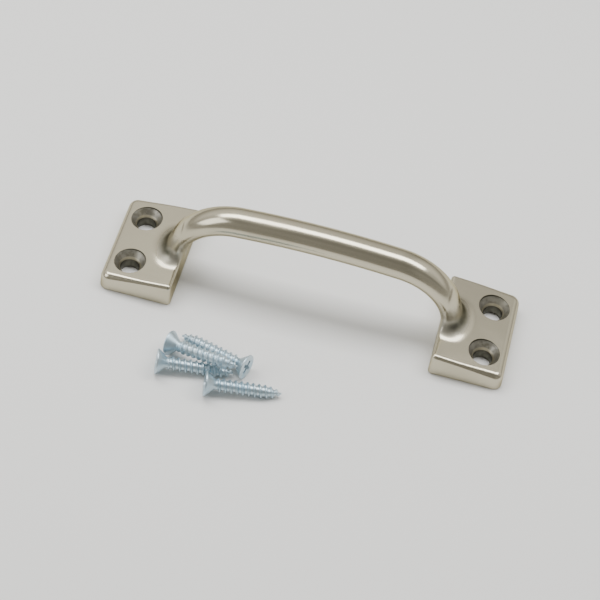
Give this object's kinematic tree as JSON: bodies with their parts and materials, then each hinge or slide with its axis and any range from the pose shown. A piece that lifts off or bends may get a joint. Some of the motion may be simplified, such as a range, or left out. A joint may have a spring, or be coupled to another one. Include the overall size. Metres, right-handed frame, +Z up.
{
  "type": "sash lift handle",
  "caption": "One-piece cast sash lift: a bowed oval bar on countersunk screw feet, with its loose flat-head wood screws.",
  "frame": {"origin": "centre of the four-hole pattern, on the plane of the undersides of the feet", "axes": "+X along the bar, +Y across it towards the back, +Z up, away from the sash"},
  "size_m": [0.1214, 0.0626, 0.0303],
  "materials": {
    "nickel": "polished nickel plate on a casting",
    "zinc": "bright zinc plate"
  },
  "bodies": {
    "handle": {"handle": "nickel"},
    "left_screw": {"left_screw": "zinc"},
    "crossing_screw": {"crossing_screw": "zinc"},
    "back_screw": {"back_screw": "zinc"},
    "front_screw": {"front_screw": "zinc"}
  },
  "joints": [
    {"name": "left_screw_lift", "type": "slide", "parent": "handle", "child": "left_screw", "axis": [0, 0, 1], "range_m": [0, 0.06]},
    {"name": "crossing_screw_lift", "type": "slide", "parent": "left_screw", "child": "crossing_screw", "axis": [0, 0, 1], "range_m": [0, 0.06]},
    {"name": "back_screw_lift", "type": "slide", "parent": "handle", "child": "back_screw", "axis": [0, 0, 1], "range_m": [0, 0.06]},
    {"name": "front_screw_lift", "type": "slide", "parent": "handle", "child": "front_screw", "axis": [0, 0, 1], "range_m": [0, 0.06]}
  ]
}
